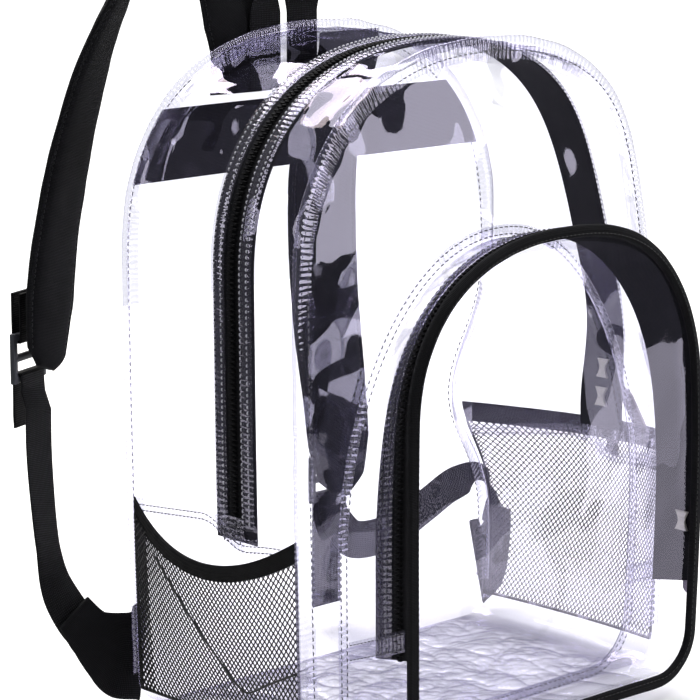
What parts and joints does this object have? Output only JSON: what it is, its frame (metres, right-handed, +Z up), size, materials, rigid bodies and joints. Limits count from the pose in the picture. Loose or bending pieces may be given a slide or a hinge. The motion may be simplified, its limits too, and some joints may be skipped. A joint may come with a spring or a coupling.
{
  "type": "clear backpack",
  "caption": "Clear vinyl backpack with an arched zipper gusset, a zipped front pocket, mesh side pockets, padded shoulder straps and a haul loop",
  "frame": {"origin": "below the middle of the whole bag with its straps, on the surface that it stands on", "axes": "+Z up along the bag's height, +Y to the back panel and the straps, +X to the right as seen from the front"},
  "size_m": [0.3964, 0.2864, 0.4612],
  "materials": {
    "clear_vinyl": "clear flexible vinyl sheet, glossy",
    "zipper_tape": "black woven zipper tape",
    "zipper_coil": "black nylon coil",
    "slider": "pale painted zinc casting",
    "pull_tab": "grey moulded soft plastic on black cord",
    "black_fabric": "black woven polyester",
    "black_mesh": "black open knitted mesh",
    "black_webbing": "black flat polypropylene webbing",
    "grey_plastic": "dark grey moulded acetal"
  },
  "bodies": {
    "root": {"back_panel": "clear_vinyl", "front_panel": "clear_vinyl", "gusset_rear": "clear_vinyl", "gusset_front": "clear_vinyl", "bottom_gusset": "clear_vinyl", "back_binding": "clear_vinyl", "front_binding": "clear_vinyl", "pocket_gusset": "clear_vinyl", "pocket_lower_gusset": "clear_vinyl", "pocket_front": "clear_vinyl", "main_zipper_tape": "zipper_tape", "pocket_zipper_tape": "zipper_tape", "main_zipper_coil": "zipper_coil", "pocket_zipper_coil": "zipper_coil", "main_slider_upper": "slider", "main_slider_lower": "slider", "pocket_slider": "slider", "main_pull_upper": "pull_tab", "main_pull_lower": "pull_tab", "pocket_pull": "pull_tab", "back_yoke": "black_fabric", "pocket_binding": "black_fabric", "shoulder_strap_left": "black_fabric", "shoulder_strap_right": "black_fabric", "corner_tab_left": "black_fabric", "corner_tab_right": "black_fabric", "mesh_elastic_left": "black_fabric", "mesh_elastic_right": "black_fabric", "mesh_pocket_left": "black_mesh", "mesh_pocket_right": "black_mesh", "webbing_left": "black_webbing", "webbing_right": "black_webbing", "lock_loop_left": "black_webbing", "lock_loop_right": "black_webbing", "haul_loop": "black_webbing", "ladder_lock_left": "grey_plastic", "ladder_lock_right": "grey_plastic"}
  },
  "joints": []
}
